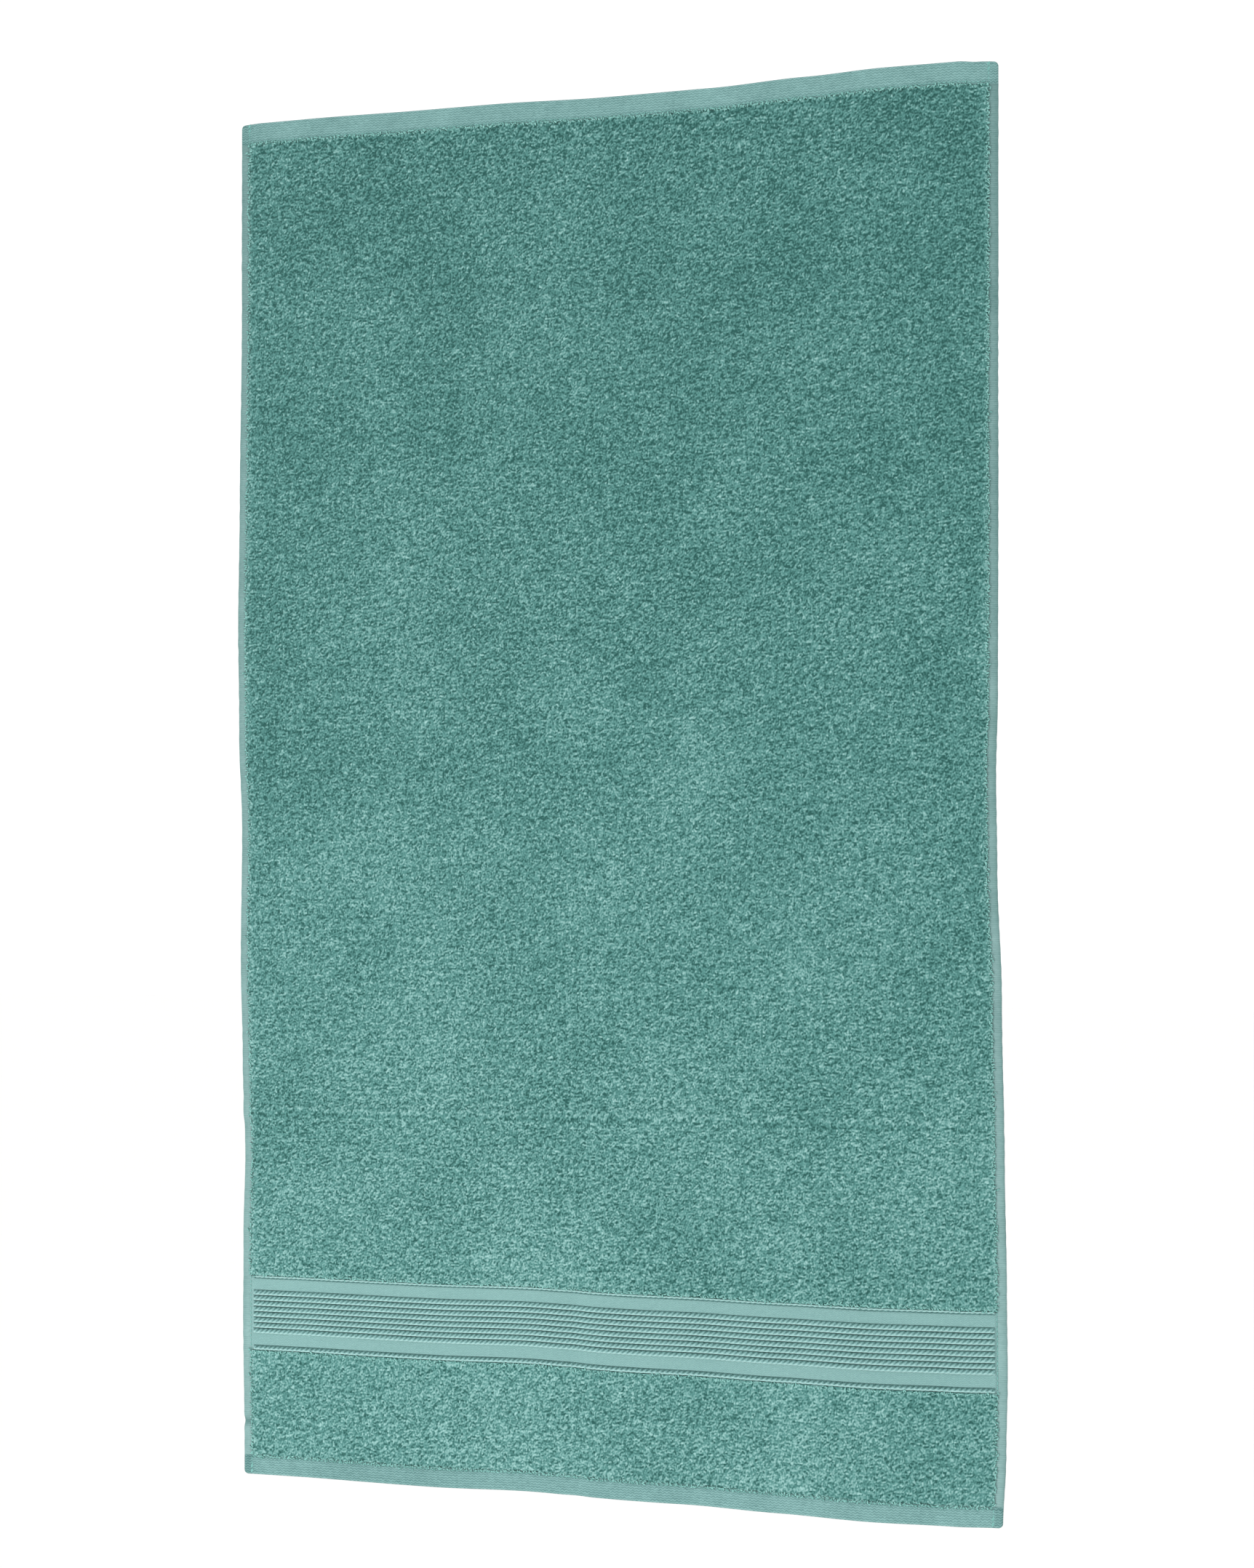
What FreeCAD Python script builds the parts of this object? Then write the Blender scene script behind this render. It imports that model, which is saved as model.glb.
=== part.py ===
import FreeCAD, Part
import os

from FreeCAD import Vector

# A terry hand towel, hanging flat by its top hem, with a crosswise fold above its woven border.
# X runs across the towel, Z up and Y away from the front. The origin lies on the back of the top
# hem, in the middle of the flat strip between the hem's rolled edge and its row of stitches.
# Millimetres throughout.

# Driving dimensions.
WIDTH = 500.0
LENGTH = 900.0
TOP_HEM = 14.0
BOTTOM_HEM = 13.0
SIDE_HEM = 6.5
CORNER_R = 4.0
ROLLED_EDGE_R = 1.2

# Thicknesses, front to back. All layers share one middle plane.
HEM_T = 3.0
SIDE_HEM_T = 2.2
SIDE_EDGE_R = 1.0
GROUND_T = 1.0
PILE_T = 2.0
PILE_EDGE_R = 1.2
BAND_T = 1.6

# The woven border, measured down from the towel's top edge.
BORDER_START = 768.0
BORDER_LENGTH = 50.0
TOP_CORD = 2.6
UPPER_PLAIN = 7.0
RIB_COUNT = 8
RIB_PITCH = 3.65
BOTTOM_CORD = 3.5
RIB_PROUD = 1.2
RIB_GAP = 0.35

# Sewing thread, and where its rows run.
THREAD = 0.5
STITCH_INSET = 1.2
SIDE_STITCH_INSET = 0.6
BACKTACK_LENGTH = 5.0

# The crosswise fold, measured down from the top edge. The cloth above it and the end below it stop
# short of it, and the end turns about a line in front of the pile.
FOLD = 655.0
FOLD_SLIT = 0.4
FOLD_STANDOFF = 6.0

# Two edges closer than this lie on the same line.
TOUCHING = 0.01

# Worked out from the above.
MIDDLE_Y = -HEM_T / 2
STITCH_ROW = TOP_HEM - STITCH_INSET
TOP_Z = (ROLLED_EDGE_R + STITCH_ROW - THREAD / 2) / 2
TERRY_W = WIDTH - 2 * SIDE_HEM
FRONT_PILE_Y = MIDDLE_Y - GROUND_T / 2 - PILE_T
FOLD_AXIS = Vector(0, FRONT_PILE_Y - FOLD_STANDOFF, TOP_Z - FOLD)
SIDE_STITCH_X = WIDTH / 2 - SIDE_HEM + SIDE_STITCH_INSET


def slab(x_low, x_high, y_low, y_high, top, bottom):
    """A plain block between two heights, which are distances down from the towel's top edge."""
    corner = Vector(x_low, y_low, TOP_Z - bottom)
    return Part.makeBox(x_high - x_low, y_high - y_low, bottom - top, corner)


def layer(width, thickness, top, bottom):
    """A block centred across the towel and on its middle plane."""
    return slab(-width / 2, width / 2, MIDDLE_Y - thickness / 2, MIDDLE_Y + thickness / 2, top, bottom)


def rounded(block, radius, wanted):
    """The block with the edges rounded that `wanted` picks by their middle point."""
    edges = [e for e in block.Edges if wanted(e.BoundBox.Center, e.BoundBox)]
    return block.makeFillet(radius, edges)


def pile(side, top, bottom):
    """Terry loops as one cushion on a face of the ground cloth: side is -1 in front, 1 behind."""
    root = MIDDLE_Y + side * GROUND_T / 2
    tip = root + side * PILE_T
    block = slab(-TERRY_W / 2, TERRY_W / 2, min(root, tip), max(root, tip), top, bottom)
    return rounded(block, PILE_EDGE_R, lambda middle, box: abs(middle.y - tip) < TOUCHING)


def thread(x_low, x_high, top, bottom, cloth_t):
    """A row of stitches, as two threads that lie flush in the front and the back of the cloth."""
    front = MIDDLE_Y - cloth_t / 2
    back = MIDDLE_Y + cloth_t / 2
    return [
        slab(x_low, x_high, front, front + THREAD, top, bottom),
        slab(x_low, x_high, back - THREAD, back, top, bottom),
    ]


def hem_row(row, side_gap):
    """The stitches that close an end hem, between the two side rows."""
    reach = SIDE_STITCH_X - side_gap
    return thread(-reach, reach, row - THREAD / 2, row + THREAD / 2, HEM_T)


def side_row(side, top, bottom, cloth_t):
    """The stitches that close a side hem: side is -1 on the left, 1 on the right."""
    middle = side * SIDE_STITCH_X
    return thread(middle - THREAD / 2, middle + THREAD / 2, top, bottom, cloth_t)


def end_hem(top, bottom, outer, rows):
    """The towel's end, folded over twice and sewn down, with its outer corners rounded."""
    block = layer(WIDTH, HEM_T, top, bottom)
    outer_z = TOP_Z - outer
    corners = [
        e for e in block.Edges
        if abs(e.BoundBox.Center.z - outer_z) < TOUCHING and e.BoundBox.XLength < TOUCHING
    ]
    block = block.makeFillet(CORNER_R, corners)
    block = rounded(
        block, ROLLED_EDGE_R,
        lambda middle, box: abs(middle.z - outer_z) < TOUCHING and box.XLength > WIDTH / 2,
    )
    return block.cut(rows)


def side_hem(side, top, bottom, rows):
    """The towel's long edge, folded over twice: its outer edge is a soft roll."""
    outer = side * WIDTH / 2
    inner = side * TERRY_W / 2
    low, high = min(outer, inner), max(outer, inner)
    block = slab(low, high, MIDDLE_Y - SIDE_HEM_T / 2, MIDDLE_Y + SIDE_HEM_T / 2, top, bottom)
    block = rounded(
        block, SIDE_EDGE_R,
        lambda middle, box: abs(middle.x - outer) < TOUCHING and box.ZLength > box.YLength,
    )
    return block.cut(rows)


def cord(top, height):
    """A raised weft cord on the border: a low arch across the terry's width."""
    face_y = MIDDLE_Y - BAND_T / 2
    z_high = TOP_Z - top
    z_low = z_high - height
    start = Vector(-TERRY_W / 2, face_y, z_high)
    crown = Vector(-TERRY_W / 2, face_y - RIB_PROUD, (z_high + z_low) / 2)
    end = Vector(-TERRY_W / 2, face_y, z_low)
    outline = Part.Wire([Part.Arc(start, crown, end).toShape(), Part.makeLine(end, start)])
    return Part.Face(outline).extrude(Vector(TERRY_W, 0, 0))


def save(node, solids):
    """Writes one node's solids to parts/NODE.step."""
    shape = solids[0] if len(solids) == 1 else Part.makeCompound(solids)
    shape.exportStep("parts/" + node + ".step")


def build_body():
    """Everything from the top edge to the fold, which hangs from the top hem."""
    last = FOLD - FOLD_SLIT / 2
    hem_rows = hem_row(STITCH_ROW, THREAD)
    hem_cuts = list(hem_rows)
    for name, side in (("left", -1), ("right", 1)):
        on_hem = side_row(side, BACKTACK_LENGTH + ROLLED_EDGE_R, TOP_HEM, HEM_T)
        on_side = side_row(side, TOP_HEM, last, SIDE_HEM_T)
        hem_cuts += on_hem
        save("side_stitches_" + name + "_upper", on_hem + on_side)
        save("side_hem_" + name + "_upper", [side_hem(side, TOP_HEM, last, on_side)])
    backtacks = []
    for side in (-1, 1):
        backtacks += side_row(side, ROLLED_EDGE_R, BACKTACK_LENGTH + ROLLED_EDGE_R, HEM_T)
    save("top_hem", [end_hem(0, TOP_HEM, 0, hem_cuts + backtacks)])
    save("top_hem_stitches", hem_rows)
    save("backtacks_top", backtacks)
    save("ground_cloth_upper", [layer(TERRY_W, GROUND_T, TOP_HEM, last)])
    save("front_pile_upper", [pile(-1, TOP_HEM, last)])
    save("back_pile_upper", [pile(1, TOP_HEM, last)])


def build_border():
    """The flat band, its eight ribs and the single cord along each of its edges."""
    end = BORDER_START + BORDER_LENGTH
    ribs_start = BORDER_START + TOP_CORD + UPPER_PLAIN
    save("border_band", [layer(TERRY_W, BAND_T, BORDER_START, end)])
    save("border_top_cord", [cord(BORDER_START, TOP_CORD)])
    save("border_bottom_cord", [cord(end - BOTTOM_CORD, BOTTOM_CORD)])
    ribs = []
    for number in range(RIB_COUNT):
        top = ribs_start + number * RIB_PITCH + RIB_GAP / 2
        ribs.append(cord(top, RIB_PITCH - RIB_GAP))
    save("border_ribs", ribs)


def build_lower_end():
    """Everything from the fold to the bottom edge."""
    first = FOLD + FOLD_SLIT / 2
    border_end = BORDER_START + BORDER_LENGTH
    hem_top = LENGTH - BOTTOM_HEM
    last_tack = LENGTH - ROLLED_EDGE_R
    hem_rows = hem_row(hem_top + STITCH_INSET, THREAD)
    hem_cuts = list(hem_rows)
    for name, side in (("left", -1), ("right", 1)):
        on_side = side_row(side, first, hem_top, SIDE_HEM_T)
        on_hem = side_row(side, hem_top, last_tack - BACKTACK_LENGTH, HEM_T)
        hem_cuts += on_hem
        save("side_stitches_" + name + "_lower", on_side + on_hem)
        save("side_hem_" + name + "_lower", [side_hem(side, first, hem_top, on_side)])
    backtacks = []
    for side in (-1, 1):
        backtacks += side_row(side, last_tack - BACKTACK_LENGTH, last_tack, HEM_T)
    save("bottom_hem", [end_hem(hem_top, LENGTH, LENGTH, hem_cuts + backtacks)])
    save("bottom_hem_stitches", hem_rows)
    save("backtacks_bottom", backtacks)
    save("ground_cloth_lower", [layer(TERRY_W, GROUND_T, first, BORDER_START)])
    save("front_pile_lower", [pile(-1, first, BORDER_START)])
    save("back_pile_lower", [pile(1, first, BORDER_START)])
    build_border()
    save("ground_cloth_end", [layer(TERRY_W, GROUND_T, border_end, hem_top)])
    save("front_pile_end", [pile(-1, border_end, hem_top)])
    save("back_pile_end", [pile(1, border_end, hem_top)])


os.makedirs("parts", exist_ok=True)
build_body()
build_lower_end()
print("top edge z", round(TOP_Z, 3), "fold axis y", FOLD_AXIS.y, "z", round(FOLD_AXIS.z, 3))
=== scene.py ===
import math

import bpy
import numpy as np
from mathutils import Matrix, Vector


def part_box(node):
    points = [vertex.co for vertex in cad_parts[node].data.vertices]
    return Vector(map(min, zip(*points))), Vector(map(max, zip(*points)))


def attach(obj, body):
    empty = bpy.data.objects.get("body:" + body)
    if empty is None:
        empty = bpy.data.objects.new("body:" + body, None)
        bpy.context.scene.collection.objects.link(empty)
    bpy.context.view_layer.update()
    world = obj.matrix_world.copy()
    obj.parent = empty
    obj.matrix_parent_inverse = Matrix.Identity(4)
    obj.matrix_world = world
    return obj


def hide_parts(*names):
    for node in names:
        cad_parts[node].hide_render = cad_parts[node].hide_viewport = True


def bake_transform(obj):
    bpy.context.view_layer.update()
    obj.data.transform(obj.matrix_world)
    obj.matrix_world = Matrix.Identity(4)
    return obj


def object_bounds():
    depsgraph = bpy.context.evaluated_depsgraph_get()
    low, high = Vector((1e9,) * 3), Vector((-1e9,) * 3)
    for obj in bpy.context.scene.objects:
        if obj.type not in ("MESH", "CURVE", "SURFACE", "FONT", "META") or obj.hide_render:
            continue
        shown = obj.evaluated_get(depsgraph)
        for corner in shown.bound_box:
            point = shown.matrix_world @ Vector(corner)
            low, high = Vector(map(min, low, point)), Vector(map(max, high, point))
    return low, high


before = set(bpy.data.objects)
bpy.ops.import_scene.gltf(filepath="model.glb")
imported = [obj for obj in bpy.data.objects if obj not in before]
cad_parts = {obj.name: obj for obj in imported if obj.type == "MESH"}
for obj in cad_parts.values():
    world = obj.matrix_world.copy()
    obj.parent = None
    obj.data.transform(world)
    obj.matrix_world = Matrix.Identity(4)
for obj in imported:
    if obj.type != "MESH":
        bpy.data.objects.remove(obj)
cad_low, cad_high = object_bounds()
bpy.ops.object.select_all(action="DESELECT")


# The camera stands level, a step to the towel's right and a metre and a half in front of it, so
# that the right edge looks a little longer than the left one. Its lens is a short telephoto.
SIDESTEP = 0.3896
STANDOFF = 1.4605
EYE_BELOW_TOP = 0.4923
TURN = math.radians(14.4)
LENS_MM = 54.1
LENS_SHIFT = 0.0502

bpy.ops.object.camera_add(
    location=(SIDESTEP, -STANDOFF, cad_high.z - EYE_BELOW_TOP),
    rotation=(math.radians(90), 0, TURN),
)
camera = bpy.context.object
camera.data.lens = LENS_MM
camera.data.sensor_width = 36
camera.data.shift_y = LENS_SHIFT
bpy.context.scene.camera = camera


# The room: a pale floor well under the hanging towel, soft white light from all round, a large
# lamp low in front on the left, and a weaker one from above.
FLOOR_BELOW = 0.90
FLOOR_SIZE = 40
WHITE = 1.0
ROOM_STRENGTH = 1.08
LOW_LAMP_WATTS = 26
HIGH_LAMP_WATTS = 7


def linear(hex_colour):
    """An sRGB hex colour as the linear RGBA that a shader takes."""
    parts = [int(hex_colour[i:i + 2], 16) / 255 for i in (1, 3, 5)]
    return tuple(c / 12.92 if c <= 0.04045 else ((c + 0.055) / 1.055) ** 2.4 for c in parts) + (1,)


def add_node(tree, kind, links=None, **settings):
    """A node with its settings and links. Names with a leading _ set inputs by number."""
    node = tree.nodes.new(kind)
    for key, value in settings.items():
        if key.startswith("_"):
            node.inputs[int(key[1:])].default_value = value
        elif key.startswith("in_"):
            node.inputs[key[3:].replace("_", " ")].default_value = value
        else:
            setattr(node, key, value)
    for socket, source in (links or {}).items():
        tree.links.new(source, node.inputs[socket])
    return node


world = bpy.data.worlds.new("soft white room")
bpy.context.scene.world = world
world.use_nodes = True
world.node_tree.nodes["Background"].inputs["Color"].default_value = (WHITE, WHITE, WHITE, 1)
world.node_tree.nodes["Background"].inputs["Strength"].default_value = ROOM_STRENGTH
bpy.context.scene.view_settings.view_transform = "Standard"

bpy.ops.mesh.primitive_plane_add(size=FLOOR_SIZE, location=(0, 0, cad_low.z - FLOOR_BELOW))
floor = bpy.context.object
floor.name = "studio_floor"
floor_paint = bpy.data.materials.new("matt white studio floor")
floor_paint.use_nodes = True
floor_paint.node_tree.nodes["Principled BSDF"].inputs["Base Color"].default_value = linear("#F7F7F6")
floor_paint.node_tree.nodes["Principled BSDF"].inputs["Roughness"].default_value = 0.9
floor.data.materials.append(floor_paint)

towel_middle = (cad_low + cad_high) / 2
for name, place, size, watts in (
    ("low front lamp", (-0.75, -1.35, -1.70), 0.9, LOW_LAMP_WATTS),
    ("high lamp", (0.5, -1.2, 1.2), 1.6, HIGH_LAMP_WATTS),
):
    bpy.ops.object.light_add(type="AREA", location=place)
    lamp = bpy.context.object
    lamp.name = name
    lamp.data.size = size
    lamp.data.energy = watts
    lamp.rotation_euler = (towel_middle - lamp.location).to_track_quat("-Z", "Y").to_euler()


# The cloth as it hangs. One cotton web holds the whole towel together, so every piece below is
# laid out flat first and then takes on the same hang: a slight sag between the top corners,
# shallow flutes, wavy long edges, and the two creases that it keeps from being folded away.
HEM_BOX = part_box("top_hem")
MIDDLE_Y = (HEM_BOX[0][1] + HEM_BOX[1][1]) / 2
TOP = cad_high.z
BOTTOM = cad_low.z
LENGTH = TOP - BOTTOM
HALF_WIDTH = cad_high.x
CREASE_Z = (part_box("front_pile_upper")[0][2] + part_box("front_pile_lower")[1][2]) / 2
UPRIGHT_CREASE_X = -0.020
CREASE_DROP = 0.0015
CREASE_WANDER = 0.0012

# The waves of the cloth. A flute is given by its depth, its width and its shift across, in metres,
# and by how it leans on its way down. A swell is given by its depth in metres, how many there are
# down the cloth, its shift and how it leans on its way across.
FLUTES = ((0.0021, 0.31, 0.06, 1.2), (0.0012, 0.17, -0.02, -1.9))
SWELLS = ((0.0019, 1.35, 0.10, 3.1), (0.0008, 3.1, 0, -9))
CROSSWISE_DEEP, CROSSWISE_WIDE = 0.0014, 0.0055
UPRIGHT_DEEP, UPRIGHT_WIDE = 0.0011, 0.007
HEM_HOLDS = 0.12

# How far each long edge strays outwards, and each end edge upwards, in millimetres: first the share
# of the way down or across, then the stray there.
LEFT_STRAY = (
    (0, 0.13, 0.28, 0.36, 0.45, 0.52, 0.62, 0.69, 0.76, 0.83, 0.89, 1),
    (0, 0.2, 2.2, 2.6, 0.9, -1.3, 0, -1.4, -3.2, -1.2, -0.3, -1.4),
)
RIGHT_STRAY = (
    (0, 0.2, 0.32, 0.43, 0.49, 0.55, 0.64, 0.75, 0.84, 0.90, 0.95, 1),
    (0.6, 0.4, 0.7, 0.4, -0.9, -0.2, 2.5, 4.1, 5.4, 6.0, 5.3, 3.4),
)
TOP_SAG = (
    (0, 0.03, 0.12, 0.25, 0.35, 0.5, 0.64, 0.76, 0.86, 0.95, 0.975, 1),
    (-0.6, 0.1, 0.3, -0.2, -0.2, -1.7, -1.5, 0.6, 2.3, 2.2, 1.0, 0.2),
)
BOTTOM_SAG = (
    (0, 0.08, 0.27, 0.42, 0.6, 0.72, 0.85, 0.94, 1),
    (0, 0.2, -1.6, 0.9, 0.2, -1.4, -3.0, -2.6, -1.4),
)

# Left of the upright crease the border hangs a little higher, in millimetres.
BORDER_STEP = 1.3
BORDER_STEP_WIDE = 0.022
BORDER_DOWN = 0.885


def smooth_line(share, knots):
    """The value along a line of given knots, with level shoulders at each knot."""
    at, value = np.array(knots[0], float), np.array(knots[1], float)
    k = np.clip(np.searchsorted(at, share, side="right") - 1, 0, len(at) - 2)
    t = np.clip((share - at[k]) / (at[k + 1] - at[k]), 0, 1)
    return value[k] + (value[k + 1] - value[k]) * t * t * (3 - 2 * t)


def above_crease(x, z):
    """How far a place lies above the crosswise crease, which wanders a little on its way across."""
    return z - CREASE_Z + CREASE_DROP - CREASE_WANDER * np.sin(9 * x)


def beside_crease(x, z):
    """How far a place lies to the right of the upright crease, which wanders a little too."""
    return x - UPRIGHT_CREASE_X - CREASE_WANDER * np.sin(11 * z)


def bump_at(distance, width):
    """1 where the distance is 0, falling off to nothing a few widths away."""
    return np.exp(-(distance / width) ** 2)


def shoulder(rise):
    """A quarter-round shoulder: 0 at 0, rising steeply at first, and 1 from 1 on."""
    return np.sqrt(np.clip(1 - (1 - np.clip(rise, 0, 1)) ** 2, 0, 1))


def depth_of_cloth(x, z):
    """How far the cloth's middle lies behind its plane, in metres, where it hangs at x and z."""
    down = (TOP - z) / LENGTH
    flutes = sum(deep * np.cos(2 * math.pi * (x + shift) / wide + lean * down)
                 for deep, wide, shift, lean in FLUTES)
    swell = sum(deep * np.sin(2 * math.pi * (down * count + shift) + lean * x)
                for deep, count, shift, lean in SWELLS)
    loose = down * down * (3 - 2 * down) * 0.75 + 0.25
    crosswise = -CROSSWISE_DEEP * bump_at(above_crease(x, z), CROSSWISE_WIDE)
    upright = UPRIGHT_DEEP * bump_at(beside_crease(x, z), UPRIGHT_WIDE)
    upright = upright * np.clip((down - 0.45) / 0.2, 0, 1)
    held = np.clip(down / HEM_HOLDS, 0, 1)
    return (flutes * loose + swell * held * 0.9 + crosswise + upright) * (0.12 + 0.88 * held)


def hang(flat):
    """Points laid out flat, as x, y from the middle plane and z, moved to where they hang."""
    x, off, z = flat[:, 0], flat[:, 1], flat[:, 2]
    down = np.clip((TOP - z) / LENGTH, 0, 1)
    across = np.clip((x + HALF_WIDTH) / (2 * HALF_WIDTH), 0, 1)
    stray = -smooth_line(down, LEFT_STRAY) * (1 - across) ** 2 + smooth_line(down, RIGHT_STRAY) * across ** 2
    sag = smooth_line(across, TOP_SAG) * (1 - down) ** 2 + smooth_line(across, BOTTOM_SAG) * down ** 3
    step = 0.5 - 0.5 * np.tanh((x - UPRIGHT_CREASE_X) / BORDER_STEP_WIDE)
    sag = sag + BORDER_STEP * step * bump_at(down - BORDER_DOWN, 0.09)
    new_x = x + stray / 1000
    new_z = z + sag / 1000
    nearby = 0.0005
    slope_x = (depth_of_cloth(x + nearby, z) - depth_of_cloth(x - nearby, z)) / (2 * nearby)
    slope_z = (depth_of_cloth(x, z + nearby) - depth_of_cloth(x, z - nearby)) / (2 * nearby)
    steep = np.sqrt(1 + slope_x ** 2 + slope_z ** 2)
    hung = np.empty_like(flat)
    hung[:, 0] = new_x - slope_x / steep * off
    hung[:, 1] = MIDDLE_Y + depth_of_cloth(x, z) + off / steep
    hung[:, 2] = new_z - slope_z / steep * off
    return hung


def write_flat(piece, flat):
    """Stores where each point of a piece lies on the flat cloth, which its material reads."""
    layer = piece.data.attributes.new("flat", "FLOAT_VECTOR", "POINT")
    layer.data.foreach_set("vector", np.ascontiguousarray(flat, np.float32).ravel())


def write_height(piece, values):
    """Stores each point's tone, from 0 to 1, which the materials turn into painted light and shade: how far it
    stands out of the yarns around it, with each piece's own painted light and shade.
    """
    layer = piece.data.attributes.new("relief", "FLOAT", "POINT")
    layer.data.foreach_set("value", np.ascontiguousarray(values, np.float32))


def lay(piece, flat, relief=None):
    """Gives a piece its flat layout and its relief, and moves its points to the hung cloth."""
    write_flat(piece, flat)
    if relief is not None:
        write_height(piece, relief)
    piece.data.vertices.foreach_set("co", hang(flat).astype(np.float32).ravel())
    piece.data.update()


def grid_panel(name, low_x, high_x, low_z, high_z, cell):
    """A flat grid facing the front over a stretch of the towel, and its points as x, 0, z."""
    columns = max(1, round((high_x - low_x) / cell))
    rows = max(1, round((high_z - low_z) / cell))
    bpy.ops.mesh.primitive_grid_add(
        x_subdivisions=columns, y_subdivisions=rows, size=1, rotation=(math.radians(90), 0, 0),
        location=((low_x + high_x) / 2, 0, (low_z + high_z) / 2),
    )
    piece = bpy.context.object
    piece.name = name
    piece.scale = (high_x - low_x, high_z - low_z, 1)
    bpy.ops.object.transform_apply(location=True, rotation=True, scale=True)
    flat = np.empty(len(piece.data.vertices) * 3)
    piece.data.vertices.foreach_get("co", flat)
    return piece, flat.reshape(-1, 3)


def joined_mesh(name, points, faces):
    """A piece from rings or tubes worked out as arrays."""
    mesh = bpy.data.meshes.new(name)
    mesh.from_pydata(points.tolist(), [], faces)
    mesh.update()
    piece = bpy.data.objects.new(name, mesh)
    bpy.context.collection.objects.link(piece)
    return piece


def finish_piece(piece, material, smooth=True):
    """Gives a piece its material and its shading."""
    piece.data.materials.append(material)
    piece.data.polygons.foreach_set("use_smooth", np.full(len(piece.data.polygons), smooth))


def follow_fold(piece):
    """Bakes a piece's placing into its points; any bend at the crosswise crease is already in its hang."""
    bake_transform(piece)


# The ground cloth: the plain-woven cotton web, one millimetre thick, that the loops stand in. It
# is one piece from hem to hem, and bends at the crosswise crease. It shows only between loops.
TERRY_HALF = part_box("front_pile_upper")[1][0]
GROUND_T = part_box("ground_cloth_upper")[1][1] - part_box("ground_cloth_upper")[0][1]
YARN_MM = 0.9
GROUND_CELL = 0.006


def cloth_material(name, rough=0.9, sheen=0.25):
    """A new cotton material: its node tree and its shader."""
    material = bpy.data.materials.new(name)
    material.use_nodes = True
    shader = material.node_tree.nodes["Principled BSDF"]
    shader.inputs["Roughness"].default_value = rough
    shader.inputs["Sheen Weight"].default_value = sheen
    shader.inputs["Sheen Roughness"].default_value = 0.5
    shader.inputs["Specular IOR Level"].default_value = 0.25
    return material, material.node_tree, shader


def plain_weave():
    """Carded cotton in plain weave: over and under every 0.9 mm, matt."""
    material, tree, shader = cloth_material("plain-woven cotton ground")
    flat = add_node(tree, "ShaderNodeAttribute", attribute_name="flat")
    parts = add_node(tree, "ShaderNodeSeparateXYZ", {"Vector": flat.outputs["Vector"]})
    waves = []
    for axis in ("X", "Z"):
        turns = add_node(
            tree, "ShaderNodeMath", {0: parts.outputs[axis]}, operation="MULTIPLY",
            _1=math.pi * 1000 / YARN_MM,
        )
        waves.append(add_node(tree, "ShaderNodeMath", {0: turns.outputs[0]}, operation="SINE"))
    weave = add_node(
        tree, "ShaderNodeMath", {0: waves[0].outputs[0], 1: waves[1].outputs[0]},
        operation="MULTIPLY",
    )
    ramp = add_node(tree, "ShaderNodeValToRGB", {"Fac": weave.outputs[0]})
    ramp.color_ramp.elements[0].color = linear("#4E837F")
    ramp.color_ramp.elements[1].color = linear("#6FA19D")
    tree.links.new(ramp.outputs["Color"], shader.inputs["Base Color"])
    bump = add_node(
        tree, "ShaderNodeBump", {"Height": weave.outputs[0]}, in_Strength=0.6, in_Distance=0.0002,
    )
    tree.links.new(bump.outputs["Normal"], shader.inputs["Normal"])
    return material


def thicken(piece, thickness):
    """Gives a flat piece of cloth its thickness, half in front and half behind."""
    layers = piece.modifiers.new("web", "SOLIDIFY")
    layers.thickness = thickness
    layers.offset = 0
    bpy.context.view_layer.objects.active = piece
    bpy.ops.object.modifier_apply(modifier="web")


hem_low_z = HEM_BOX[0][2]
bottom_hem_top_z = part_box("bottom_hem")[1][2]
ground, flat = grid_panel(
    "ground_cloth", -HALF_WIDTH + 0.001, HALF_WIDTH - 0.001, BOTTOM + 0.002, TOP - 0.002, GROUND_CELL,
)
lay(ground, flat)
thicken(ground, GROUND_T)
finish_piece(ground, plain_weave())
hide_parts("ground_cloth_upper", "ground_cloth_lower", "ground_cloth_end")
follow_fold(ground)


# The terry pile: some hundred and thirty thousand loops of soft-twist cotton on each face, 2 mm
# deep. Seen from outside, each loop is a short curved stroke of yarn that leans on its neighbours.
# The strokes are drawn one by one into a relief, which the fine meshes of the pile then take on.
RELIEF_STEP = 0.0005
LOOP_SPACING = 0.00185
LOOP_LENGTH = 0.0027
YARN_RADIUS = 0.00052
PILE_SINK = 0.0010
FRONT_CELL = 0.0010
BACK_CELL = 0.0016
GROUND_FACE = GROUND_T / 2
PILE_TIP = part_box("back_pile_upper")[1][1] - MIDDLE_Y


def soft_noise(x, z, size, seed, parts=7):
    """A smooth random surface between about -1 and 1 with hills of roughly the given size."""
    draw = np.random.default_rng(seed)
    total = np.zeros_like(x)
    for turn, phase, stretch in zip(
        draw.uniform(0, math.pi, parts), draw.uniform(0, 2 * math.pi, parts), draw.uniform(0.7, 1.5, parts),
    ):
        run = (x * math.cos(turn) + z * math.sin(turn)) / (size * stretch)
        total += np.sin(2 * math.pi * run + phase)
    return total / math.sqrt(parts)


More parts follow.
